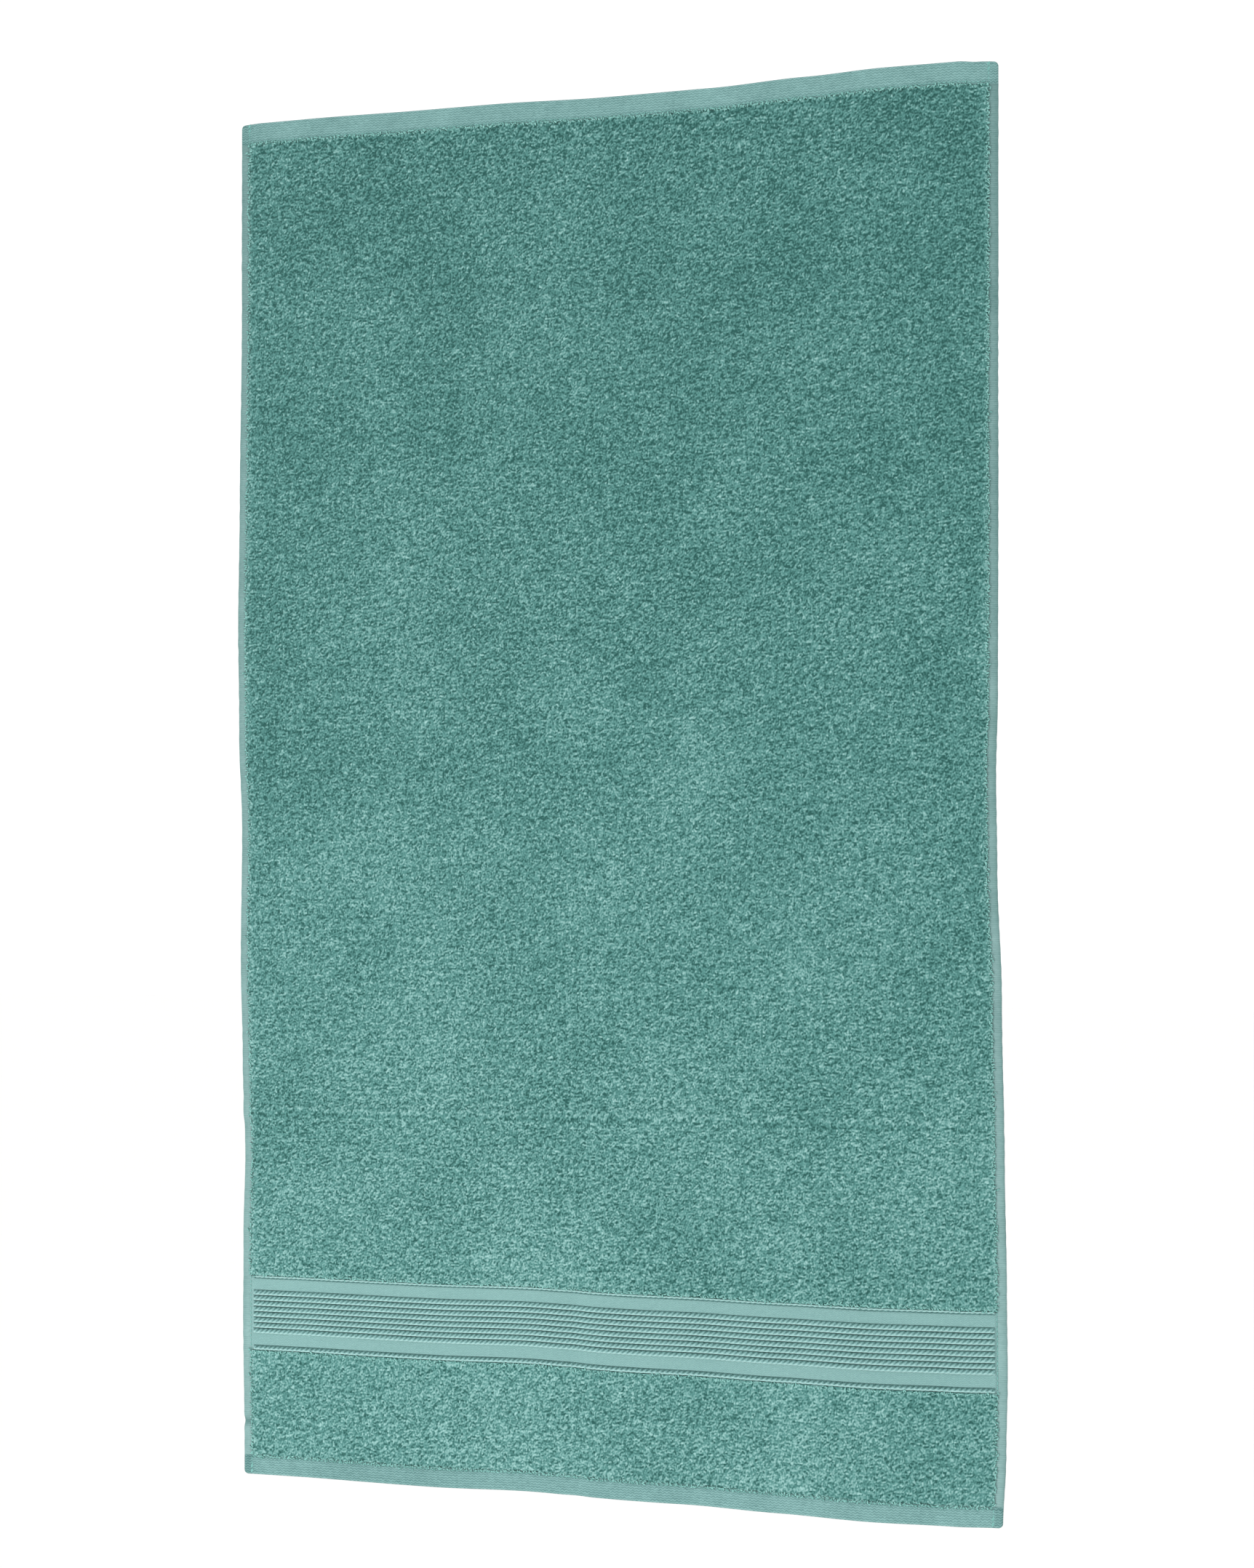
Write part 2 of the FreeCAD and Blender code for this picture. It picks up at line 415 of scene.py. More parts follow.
def loop_relief(seed):
    """The relief of one face: a table of heights from 0 to 1 over the whole towel."""
    draw = np.random.default_rng(seed)
    columns = int(2 * HALF_WIDTH / RELIEF_STEP) + 1
    rows = int(LENGTH / RELIEF_STEP) + 1
    table = np.zeros((rows, columns), np.float32)
    nx, nz = int(2 * HALF_WIDTH / LOOP_SPACING), int(LENGTH / LOOP_SPACING)
    gx, gz = np.meshgrid(np.arange(nx), np.arange(nz))
    count = gx.size
    cx = (gx.ravel() + draw.uniform(-0.15, 1.15, count)) * LOOP_SPACING - HALF_WIDTH
    cz = (gz.ravel() + draw.uniform(-0.15, 1.15, count)) * LOOP_SPACING + BOTTOM
    lean = soft_noise(cx, cz, 0.035, seed + 1) * 0.9 + soft_noise(cx, cz, 0.008, seed + 2) * 0.8
    angle = lean + draw.normal(0, 0.75, count)
    bend = draw.normal(0, 0.9, count)
    length = LOOP_LENGTH * draw.uniform(0.7, 1.3, count)
    tall = draw.uniform(0.62, 1.0, count)
    tilt = draw.normal(0, 0.22, count)
    reach = int(math.ceil(YARN_RADIUS / RELIEF_STEP))
    for t in np.linspace(-1, 1, 9):
        heading = angle + bend * t * 0.5
        px = cx + np.cos(heading) * length / 2 * t
        pz = cz + np.sin(heading) * length / 2 * t
        height = tall * (1 - 0.42 * t * t + tilt * t)
        ix = (px + HALF_WIDTH) / RELIEF_STEP
        iz = (pz - BOTTOM) / RELIEF_STEP
        bx, bz = np.round(ix).astype(int), np.round(iz).astype(int)
        for kx in range(-reach, reach + 1):
            for kz in range(-reach, reach + 1):
                qx, qz = bx + kx, bz + kz
                gap = np.hypot(qx - ix, qz - iz) * RELIEF_STEP / YARN_RADIUS
                good = (gap < 1) & (qx >= 0) & (qx < columns) & (qz >= 0) & (qz < rows)
                value = height * (0.35 + 0.65 * np.sqrt(np.clip(1 - gap * gap, 0, 1)))
                np.maximum.at(table, (qz[good], qx[good]), value[good].astype(np.float32))
    return table


def read_relief(table, x, z):
    """The relief at any place, between the table's own points."""
    ix = np.clip((x + HALF_WIDTH) / RELIEF_STEP, 0, table.shape[1] - 1.001)
    iz = np.clip((z - BOTTOM) / RELIEF_STEP, 0, table.shape[0] - 1.001)
    kx, kz = ix.astype(int), iz.astype(int)
    fx, fz = ix - kx, iz - kz
    low = table[kz, kx] * (1 - fx) + table[kz, kx + 1] * fx
    high = table[kz + 1, kx] * (1 - fx) + table[kz + 1, kx + 1] * fx
    return low * (1 - fz) + high * fz


def terry_loops():
    """Ring-spun cotton loops: matt, painted pale where a loop catches the light and painted deep green in the
    shade between loops.
    """
    material, tree, shader = cloth_material("cotton terry loops", rough=0.95, sheen=0.35)
    flat = add_node(tree, "ShaderNodeAttribute", attribute_name="flat")
    relief = add_node(tree, "ShaderNodeAttribute", attribute_name="relief")
    # Yarn streaks: 0.8 mm strands that run every way, and a little longer up the towel than across.
    stretched = add_node(
        tree, "ShaderNodeMapping", {"Vector": flat.outputs["Vector"]}, in_Scale=(0.90, 0.90, 0.66),
    )
    strands = add_node(
        tree, "ShaderNodeTexGabor", {"Vector": stretched.outputs["Vector"]}, gabor_type="3D",
        in_Scale=540, in_Frequency=1.25, in_Anisotropy=0.0,
    )
    grain = add_node(
        tree, "ShaderNodeTexNoise", {"Vector": flat.outputs["Vector"]}, in_Scale=900, in_Detail=2.0,
    )
    clouds = add_node(
        tree, "ShaderNodeTexNoise", {"Vector": flat.outputs["Vector"]}, in_Scale=11, in_Detail=3.0,
        in_Roughness=0.5,
    )
    # Rows: loops of one weft row lean together, in streaks a centimetre long.
    rows = add_node(
        tree, "ShaderNodeMapping", {"Vector": flat.outputs["Vector"]}, in_Scale=(85, 85, 270),
    )
    rows = add_node(
        tree, "ShaderNodeTexNoise", {"Vector": rows.outputs["Vector"]}, in_Scale=1.0, in_Detail=2.0,
    )
    tone = add_node(
        tree, "ShaderNodeMath", {0: relief.outputs["Fac"]}, operation="MULTIPLY_ADD", _1=0.62, _2=0.03,
    )
    for source, weight in ((rows, 0.45), (strands, 1.35), (grain, 0.18), (clouds, 0.33)):
        tone = add_node(
            tree, "ShaderNodeMath", {0: source.outputs[0], 2: tone.outputs[0]},
            operation="MULTIPLY_ADD", _1=weight,
        )
    shade = add_node(
        tree, "ShaderNodeMapRange", {"Value": tone.outputs[0]},
        in_From_Min=1.11, in_From_Max=2.03,
    )
    ramp = add_node(tree, "ShaderNodeValToRGB", {"Fac": shade.outputs[0]})
    ramp.color_ramp.elements[0].color = linear("#1C504B")
    ramp.color_ramp.elements[1].color = linear("#8CB6B2")
    middle = ramp.color_ramp.elements.new(0.45)
    middle.color = linear("#4C817C")
    tree.links.new(ramp.outputs["Color"], shader.inputs["Base Color"])
    fibres = add_node(
        tree, "ShaderNodeMath", {0: strands.outputs["Value"], 1: grain.outputs["Fac"]}, operation="ADD",
    )
    bump = add_node(
        tree, "ShaderNodeBump", {"Height": fibres.outputs[0]}, in_Strength=0.55, in_Distance=0.0004,
    )
    tree.links.new(bump.outputs["Normal"], shader.inputs["Normal"])
    return material


TERRY = terry_loops()
# How far in from its edges the pile reaches its full height, how ragged that line is, how deep the
# nap is brushed down in patches, how much paler the pile is painted low down and to the left, as
# painted light, and along the sides, as a painted highlight over the shade where the pile drops to
# the hems, and how far it spills over the side hems.
EDGE_RISE = 0.0022
EDGE_RAGGED = 0.0007
NAP_SINK = 0.00025
PAINTED_LIGHT_LOW_DOWN = 0.30
PAINTED_LIGHT_AT_SIDES = 0.22
OVER_LEFT = 0.0004
OVER_RIGHT = 0.0003


def pile_height(x, z, table, seed, edges):
    """How far the pile stands out of the cloth: it drops to the ground at the edges it ends at."""
    relief = read_relief(table, x, z)
    depth = PILE_TIP - GROUND_FACE
    nap = 0.5 + 0.5 * np.clip(soft_noise(x, z, 0.09, seed + 5), -1, 1)
    height = depth - PILE_SINK * (1 - relief) - NAP_SINK * nap
    ragged = EDGE_RAGGED * soft_noise(x, z, 0.004, seed + 6)
    left, right, low, high = edges
    gap = np.minimum(x - left, right - x)
    if low is not None:
        gap = np.minimum(gap, z - low)
    if high is not None:
        gap = np.minimum(gap, high - z)
    rise = shoulder((gap + 0.0004 + ragged) / EDGE_RISE)
    return height * (0.12 + 0.88 * rise), relief


def pile_panel(name, side, low_z, high_z, ends, table, seed, cell):
    """One stretch of pile. side is -1 in front and 1 behind; ends says which ends it stops at."""
    left, right = -TERRY_HALF - OVER_LEFT, TERRY_HALF + OVER_RIGHT
    piece, flat = grid_panel(name, left, right, low_z, high_z, cell)
    edges = (left, right, low_z if ends[0] else None, high_z if ends[1] else None)
    height, relief = pile_height(flat[:, 0], flat[:, 2], table, seed, edges)
    flat[:, 1] = side * (GROUND_FACE + height)
    if side > 0:
        piece.data.flip_normals()
    x, z = flat[:, 0], flat[:, 2]
    # Painted light: the pile is painted paler low down and a little paler to the left, as the light falls, and
    # paler along its sides, against the shade where it drops to the hems.
    relief = relief + PAINTED_LIGHT_LOW_DOWN * ((TOP - z) / LENGTH - 0.5 - 0.04 * x / HALF_WIDTH)
    relief = relief + PAINTED_LIGHT_AT_SIDES * bump_at(TERRY_HALF - np.abs(x), 0.002)
    # Each crease is painted on as light and shade: a pale line of painted highlight with a dark line of
    # painted shade beside it, less so behind.
    crease_light_and_shade = 1.0 if side < 0 else 0.3
    relief = relief + 0.12 * crease_light_and_shade * bump_at(above_crease(x, z) - 0.0018, 0.0018)
    relief = relief - 0.20 * crease_light_and_shade * bump_at(above_crease(x, z) + 0.0008, 0.0012)
    lower_half = crease_light_and_shade * np.clip((TOP - z) / LENGTH * 5 - 2.3, 0, 1)
    relief = relief + 0.09 * lower_half * bump_at(beside_crease(x, z) + 0.002, 0.0022)
    relief = relief - 0.07 * lower_half * bump_at(beside_crease(x, z) - 0.002, 0.0022)
    lay(piece, flat, np.clip(relief, -0.3, 1.3))
    finish_piece(piece, TERRY)
    return piece


BORDER_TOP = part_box("border_band")[1][2]
BORDER_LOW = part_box("border_band")[0][2]
FOLD_STRIP = 0.020
STRIPS = 4
for face, side, cell, seed in (("front", -1, FRONT_CELL, 11), ("back", 1, BACK_CELL, 47)):
    table = loop_relief(seed)
    high = hem_low_z
    low = CREASE_Z + FOLD_STRIP
    strips = STRIPS if side < 0 else STRIPS // 2
    for number in range(strips):
        strip_high = high + (low - high) * number / strips
        strip_low = high + (low - high) * (number + 1) / strips
        strip = pile_panel(
            f"{face}_pile_{number + 1}", side, strip_low, strip_high, (False, number == 0), table, seed,
            cell,
        )
        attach(strip, "towel_body")
        if number == 0:
            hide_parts(face + "_pile_upper")
    turn = pile_panel(
        face + "_pile_crease", side, CREASE_Z - FOLD_STRIP, low, (False, False), table, seed, cell,
    )
    follow_fold(turn)
    end = pile_panel(
        face + "_pile_below_crease", side, BORDER_TOP, CREASE_Z - FOLD_STRIP, (True, False), table, seed,
        cell,
    )
    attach(end, "lower_end")
    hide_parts(face + "_pile_lower")
    panel = pile_panel(
        face + "_pile_end_panel", side, bottom_hem_top_z, BORDER_LOW, (True, True), table, seed, cell,
    )
    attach(panel, "lower_end")
    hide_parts(face + "_pile_end")


# The woven border: a flat herringbone band set into the terry, with one twisted cord along its top
# edge, eight across its middle and one along its foot. It is woven in one with the ground cloth
# from the same cotton, and its face is smooth where the pile stops.
BAND_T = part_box("border_band")[1][1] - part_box("border_band")[0][1]
BAND_FACE = BAND_T / 2
CORD_PROUD = MIDDLE_Y - BAND_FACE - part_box("border_ribs")[0][1]
RIBS_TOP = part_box("border_ribs")[1][2]
RIBS_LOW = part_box("border_ribs")[0][2]
RIB_COUNT = 8
RIB_PITCH = (RIBS_TOP - RIBS_LOW) / (RIB_COUNT - 0.1)
BAND_TUCK = 0.001
BAND_CELL = 0.0025
CORD_LEFT = -TERRY_HALF + 0.0012
CORD_RIGHT = TERRY_HALF - 0.0004
LEFT_TAPER = 0.0012
RIGHT_TAPER = 0.0016
CORD_SUNK = 0.0003
# The cords turn once in 2.6 mm, which is drawn at 3.3 so that their twist shows.
TWIST = 0.0033
TWIST_RISE = 0.85


def woven(name, tones, pitch, chevron, rise, show, clouds):
    """Cotton in herringbone twill: fine ridges that turn back at every half chevron, matt."""
    material, tree, shader = cloth_material(name)
    flat = add_node(tree, "ShaderNodeAttribute", attribute_name="flat")
    relief = add_node(tree, "ShaderNodeAttribute", attribute_name="relief")
    uneven = add_node(
        tree, "ShaderNodeTexNoise", {"Vector": flat.outputs["Vector"]}, in_Scale=420, in_Detail=1.0,
    )
    parts = add_node(tree, "ShaderNodeSeparateXYZ", {"Vector": flat.outputs["Vector"]})
    turn = add_node(
        tree, "ShaderNodeMath", {0: parts.outputs["X"]}, operation="PINGPONG", _1=chevron / 2,
    )
    phase = add_node(
        tree, "ShaderNodeMath", {0: turn.outputs[0], 2: parts.outputs["Z"]},
        operation="MULTIPLY_ADD", _1=rise,
    )
    phase = add_node(
        tree, "ShaderNodeMath", {0: uneven.outputs["Fac"], 2: phase.outputs[0]},
        operation="MULTIPLY_ADD", _1=pitch * 0.8,
    )
    turns = add_node(
        tree, "ShaderNodeMath", {0: phase.outputs[0]}, operation="MULTIPLY", _1=2 * math.pi / pitch,
    )
    ridge = add_node(tree, "ShaderNodeMath", {0: turns.outputs[0]}, operation="SINE")
    yarn = add_node(
        tree, "ShaderNodeTexNoise", {"Vector": flat.outputs["Vector"]}, in_Scale=1100, in_Detail=2.0,
    )
    cloud = add_node(
        tree, "ShaderNodeTexNoise", {"Vector": flat.outputs["Vector"]}, in_Scale=22, in_Detail=3.0,
    )
    tone = relief.outputs["Fac"]
    for source, weight in ((ridge, show), (yarn, 0.45), (cloud, clouds), (uneven, show * 1.5)):
        added = add_node(
            tree, "ShaderNodeMath", {0: source.outputs[0], 2: tone}, operation="MULTIPLY_ADD",
            _1=weight,
        )
        tone = added.outputs[0]
    palest = 1.43 + clouds / 2 + show * 0.75
    shade = add_node(
        tree, "ShaderNodeMapRange", {"Value": tone}, in_From_Min=palest - 1.4, in_From_Max=palest,
    )
    ramp = add_node(tree, "ShaderNodeValToRGB", {"Fac": shade.outputs[0]})
    ramp.color_ramp.elements[0].color = linear(tones[0])
    ramp.color_ramp.elements[1].color = linear(tones[1])
    tree.links.new(ramp.outputs["Color"], shader.inputs["Base Color"])
    height = add_node(
        tree, "ShaderNodeMath", {0: ridge.outputs[0], 1: yarn.outputs["Fac"]}, operation="ADD",
    )
    bump = add_node(
        tree, "ShaderNodeBump", {"Height": height.outputs[0]}, in_Strength=0.5, in_Distance=0.00018,
    )
    tree.links.new(bump.outputs["Normal"], shader.inputs["Normal"])
    return material


def swept(name, runs):
    """One closed tube for each run of rings, in a single piece. runs counts run, ring, point."""
    count, rings, around = runs.shape[:3]
    k = np.arange(around)
    ring = (np.arange(rings - 1) * around)[:, None]
    ahead = (k + 1) % around
    quads = np.stack([ring + k, ring + ahead, ring + around + ahead, ring + around + k], -1)
    quads = quads.reshape(-1, 4)
    faces = []
    for run in range(count):
        start = run * rings * around
        faces += (quads + start).tolist()
        faces.append((k[::-1] + start).tolist())
        faces.append((k + start + (rings - 1) * around).tolist())
    flat = runs.reshape(-1, 3)
    piece = joined_mesh(name, flat, faces)
    bpy.ops.object.select_all(action="DESELECT")
    piece.select_set(True)
    bpy.context.view_layer.objects.active = piece
    bpy.ops.object.mode_set(mode="EDIT")
    bpy.ops.mesh.select_all(action="SELECT")
    bpy.ops.mesh.normals_make_consistent(inside=False)
    bpy.ops.object.mode_set(mode="OBJECT")
    piece.select_set(False)
    return piece, flat


# A cord's section: share of the way down it, how far it stands out, and its tone, which is painted
# light and shade: painted shade in the grooves and a painted highlight on each crown. Its crown sits
# low, so the upper side falls away slowly into the groove above it.
RIB_SECTION = (
    (0.00, 0.02, 0.00), (0.10, 0.14, 0.06), (0.24, 0.42, 0.30), (0.40, 0.72, 0.48), (0.57, 0.93, 0.60),
    (0.73, 1.00, 0.90), (0.86, 0.86, 1.00), (0.95, 0.45, 0.80), (1.00, 0.02, 0.10),
)
FOOT_SECTION = (
    (0.00, 0.02, 0.05), (0.12, 0.12, 0.06), (0.28, 0.30, 0.16), (0.42, 0.62, 0.42), (0.57, 0.92, 0.68),
    (0.72, 1.00, 0.95), (0.84, 0.80, 1.00), (0.93, 0.35, 0.45), (1.00, 0.02, 0.00),
)
TOP_SECTION = (
    (0.00, 0.10, 0.20), (0.08, 0.60, 0.70), (0.20, 0.92, 1.00), (0.32, 0.95, 1.00), (0.44, 0.70, 0.80),
    (0.54, 0.25, 0.25), (0.66, 0.04, 0.02), (0.82, 0.03, 0.30), (1.00, 0.02, 0.60),
)


def cords(name, tops, height, section, depth):
    """Twisted weft cords across the border, one under each height in tops."""
    across = np.arange(CORD_LEFT, CORD_RIGHT, TWIST / 4)
    share, proud, tone = (np.array(column) for column in zip(*section))
    share = np.append(share, [0.7, 0.3])
    runs = np.empty((len(tops), len(across), len(share), 3))
    relief = np.empty(runs.shape[:3])
    left = np.clip((across - CORD_LEFT) / LEFT_TAPER, 0, 1)
    right = np.clip((CORD_RIGHT - across) / RIGHT_TAPER, 0, 1)
    swell = np.sqrt(np.minimum(left, right)) * (1 + 0.05 * np.sin(across * 130))
    for number, top in enumerate(tops):
        z = top - share * height
        twist = (across[:, None] - z / TWIST_RISE) / TWIST + number * 0.37
        twist = twist + 0.12 * np.sin(across * 55 + number)[:, None]
        strand = 0.5 + 0.5 * np.sin(2 * math.pi * twist[:, :len(proud)])
        stand = proud * (0.72 + 0.28 * strand) * swell[:, None]
        runs[number, :, :, 0] = across[:, None]
        runs[number, :, :len(proud), 1] = -BAND_FACE - stand * depth
        runs[number, :, len(proud):, 1] = -BAND_FACE + CORD_SUNK
        runs[number, :, :, 2] = z
        # Painted light and shade: the twist is painted in slashes, darker where it sinks and paler where it
        # stands, over the section's painted tone.
        slashes = np.clip(proud / 0.3, 0, 1) * (tone < 0.95)
        shade = tone * (1 - 0.15 * (1 - strand)) + slashes * (strand - 0.62) * 0.85
        relief[number, :, :len(proud)] = 0.6 + (shade - 0.6) * swell[:, None]
        relief[number, :, len(proud):] = 0.5
    piece, flat = swept(name, runs)
    lay(piece, flat, np.clip(relief.ravel(), 0, 1))
    finish_piece(piece, TWISTED_CORD)
    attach(piece, "lower_end")
    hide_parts(name)
    return piece


def twisted_cotton():
    """Two-ply cotton cord, combed and tightly twisted: matt, with a painted highlight on its crown and painted
    shade in its grooves.
    """
    material, tree, shader = cloth_material("twisted cotton weft cord", rough=0.8, sheen=0.2)
    flat = add_node(tree, "ShaderNodeAttribute", attribute_name="flat")
    relief = add_node(tree, "ShaderNodeAttribute", attribute_name="relief")
    fibre = add_node(
        tree, "ShaderNodeTexNoise", {"Vector": flat.outputs["Vector"]}, in_Scale=1500, in_Detail=2.0,
    )
    tone = add_node(
        tree, "ShaderNodeMath", {0: fibre.outputs["Fac"], 2: relief.outputs["Fac"]},
        operation="MULTIPLY_ADD", _1=0.46,
    )
    shade = add_node(
        tree, "ShaderNodeMapRange", {"Value": tone.outputs[0]}, in_From_Min=0.18, in_From_Max=1.18,
    )
    ramp = add_node(tree, "ShaderNodeValToRGB", {"Fac": shade.outputs[0]})
    ramp.color_ramp.elements[0].color = linear("#264F4B")
    ramp.color_ramp.elements[1].color = linear("#98BEBB")
    middle = ramp.color_ramp.elements.new(0.5)
    middle.color = linear("#6D9795")
    tree.links.new(ramp.outputs["Color"], shader.inputs["Base Color"])
    bump = add_node(
        tree, "ShaderNodeBump", {"Height": fibre.outputs["Fac"]}, in_Strength=0.4, in_Distance=0.00015,
    )
    tree.links.new(bump.outputs["Normal"], shader.inputs["Normal"])
    return material


# Ridges 0.7 mm apart are finer than a view of the whole towel can show, so they are drawn at 1.1.
BAND_WEAVE = woven(
    "herringbone cotton band", ("#5A8482", "#8FB6B3"), pitch=0.0011, chevron=0.0022, rise=0.65,
    show=0.24, clouds=0.25,
)
TWISTED_CORD = twisted_cotton()
band, flat = grid_panel(
    "border_band", -TERRY_HALF - BAND_TUCK, TERRY_HALF + BAND_TUCK, BORDER_LOW, BORDER_TOP, BAND_CELL,
)
lay(band, flat, np.full(len(flat), 0.5))
thicken(band, BAND_T)
finish_piece(band, BAND_WEAVE)
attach(band, "lower_end")
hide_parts("border_band")

rib_tops = [RIBS_TOP + RIB_PITCH * 0.05 - RIB_PITCH * number for number in range(RIB_COUNT)]
cords("border_ribs", rib_tops, RIB_PITCH, RIB_SECTION, CORD_PROUD)
for name, section in (("border_top_cord", TOP_SECTION), ("border_bottom_cord", FOOT_SECTION)):
    cord_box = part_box(name)
    cords(name, [cord_box[1][2]], cord_box[1][2] - cord_box[0][2], section, CORD_PROUD * 0.95)


# The end hems: the flat-woven ends of the web, turned over twice to the back and stitched through
# all three layers. They are 3 mm thick, round at the fold, and drawn in along the stitches.
STITCH_INSET = (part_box("top_hem_stitches")[0][2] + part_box("top_hem_stitches")[1][2]) / 2 - HEM_BOX[0][2]
HEM_HALF_T = (HEM_BOX[1][1] - HEM_BOX[0][1]) / 2
CORNER_R = 0.0030
HEM_RIB = 0.0016
HEM_CELL = 0.0012
# The stitches draw the hem in by this share of its thickness, with a pucker between them, and so do
# the short stretches sewn back over at its corners.
HEM_DRAWN_IN = 0.30
PUCKER_EVERY = 0.003
TACK_DRAWN_IN = 0.22
SIDE_STITCH_X = (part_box("side_stitches_right_upper")[0][0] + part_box("side_stitches_right_upper")[1][0]) / 2
HEM_WEAVE = woven(
    "flat-woven cotton hem", ("#466F6D", "#84ADAB"), pitch=HEM_RIB, chevron=0.0026, rise=0.65,
    show=0.34, clouds=0.5,
)


def end_hem(name, inner_z, outer_z, body, painted_shade_left):
    """One end hem, from its stitched inner edge to its folded outer edge."""
    height = abs(outer_z - inner_z)
    way = 1 if outer_z > inner_z else -1
    across = np.arange(-HALF_WIDTH + CORNER_R, HALF_WIDTH - CORNER_R, HEM_CELL)
    turn = np.sin(np.linspace(0, math.pi / 2, 10)) * CORNER_R
    across = np.concatenate([-HALF_WIDTH + CORNER_R - turn[:0:-1], across, HALF_WIDTH - CORNER_R + turn])
    across = across * (1 - 1e-4)
    front = np.linspace(0, 1, 33)
    back = np.linspace(1, 0, 20)
    face = np.concatenate([np.full(len(front), -1.0), np.full(len(back), 1.0)])
    share = np.concatenate([front, back])
    rest = np.clip(np.abs(across) - (HALF_WIDTH - CORNER_R), 0, CORNER_R)
    cut = CORNER_R - np.sqrt(CORNER_R ** 2 - rest ** 2)
    reach = (height - cut)[:, None] * share[None, :]
    end_roll = shoulder((HALF_WIDTH - np.abs(across)) / HEM_HALF_T)[:, None]
    fold_roll = shoulder(((height - cut)[:, None] - reach) / HEM_HALF_T)
    inner_roll = shoulder((reach + 0.0003) / 0.0009)
    drawn_in = HEM_DRAWN_IN * bump_at(reach - STITCH_INSET, 0.0008)
    pucker = 0.5 + 0.5 * np.cos(2 * math.pi * across / PUCKER_EVERY)[:, None]
    drawn_in = drawn_in * (0.7 + 0.3 * pucker)
    corner = np.clip((np.abs(across) - SIDE_STITCH_X - 0.0003) / 0.0012, 0, 1)[:, None]
    tack = TACK_DRAWN_IN * bump_at(np.abs(across) - SIDE_STITCH_X, 0.0006)[:, None]
    swell = 0.05 * soft_noise(across[:, None] + 0 * reach, reach, 0.03, 91)
    ribs = 0.035 * np.cos(2 * math.pi * reach / HEM_RIB)
    thick = (1 - drawn_in - tack + 0.10 * corner + swell + ribs) * end_roll * fold_roll * inner_roll
    rings = np.empty((len(across), len(share), 3))
    rings[:, :, 0] = across[:, None]
    rings[:, :, 1] = face[None, :] * HEM_HALF_T * np.maximum(thick, 0.02)
    rings[:, :, 2] = inner_z + way * reach
    margin_ribs = 0.16 * corner * np.cos(2 * math.pi * reach / 0.0013)
    # Painted shade: darker along the drawn-in stitch row and at the backtacks, and, by the amount given last,
    # darker towards the left and a little more in both corners.
    relief = 0.58 - 0.9 * drawn_in - 0.6 * tack - (0.12 + painted_shade_left) * corner + 0.6 * swell + margin_ribs
    relief = relief - painted_shade_left * (0.5 - across / HALF_WIDTH / 2)[:, None]
    piece, flat = swept(name, rings[None])
    lay(piece, flat, np.clip(relief, 0, 1).ravel())
    finish_piece(piece, HEM_WEAVE)
    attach(piece, body)
    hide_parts(name)
    return piece


end_hem("top_hem", HEM_BOX[0][2], TOP, "towel_body", 0.05)
end_hem("bottom_hem", bottom_hem_top_z, BOTTOM, "lower_end", 0.2)


# The side hems: the long margins of the web, turned over twice and stitched close to the fold.
# Weft ribs cross them every 1.3 mm, and each outer edge is a soft roll from hem to hem.
SIDE_HALF_T = (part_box("side_hem_left_upper")[1][1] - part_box("side_hem_left_upper")[0][1]) / 2
SIDE_RIB = 0.0013
SIDE_DRAWN_IN = 0.34
RAGGED_EDGE = 0.00007
PINCH_DOWN = 0.865
PINCH_TALL = 0.0028


def side_margin():
    """Ribbed cotton selvedge: matt, a little greyer than the terry, crossed by fine weft ribs."""
    material, tree, shader = cloth_material("ribbed cotton selvedge")
    flat = add_node(tree, "ShaderNodeAttribute", attribute_name="flat")
    relief = add_node(tree, "ShaderNodeAttribute", attribute_name="relief")
    along = add_node(
        tree, "ShaderNodeMapping", {"Vector": flat.outputs["Vector"]}, in_Scale=(300, 300, 1300),
    )
    yarn = add_node(
        tree, "ShaderNodeTexNoise", {"Vector": along.outputs["Vector"]}, in_Scale=1.0, in_Detail=2.0,
    )
    cloud = add_node(
        tree, "ShaderNodeTexNoise", {"Vector": flat.outputs["Vector"]}, in_Scale=25, in_Detail=3.0,
    )
    tone = relief.outputs["Fac"]
    for source, weight in ((yarn, 0.55), (cloud, 0.35)):
        added = add_node(
            tree, "ShaderNodeMath", {0: source.outputs[0], 2: tone}, operation="MULTIPLY_ADD",
            _1=weight,
        )
        tone = added.outputs[0]
    shade = add_node(tree, "ShaderNodeMapRange", {"Value": tone}, in_From_Min=0.3, in_From_Max=1.6)
    ramp = add_node(tree, "ShaderNodeValToRGB", {"Fac": shade.outputs[0]})
    ramp.color_ramp.elements[0].color = linear("#4D7270")
    ramp.color_ramp.elements[1].color = linear("#95B6B4")
    tree.links.new(ramp.outputs["Color"], shader.inputs["Base Color"])
    bump = add_node(
        tree, "ShaderNodeBump", {"Height": yarn.outputs["Fac"]}, in_Strength=0.5, in_Distance=0.0002,
    )
    tree.links.new(bump.outputs["Normal"], shader.inputs["Normal"])
    return material


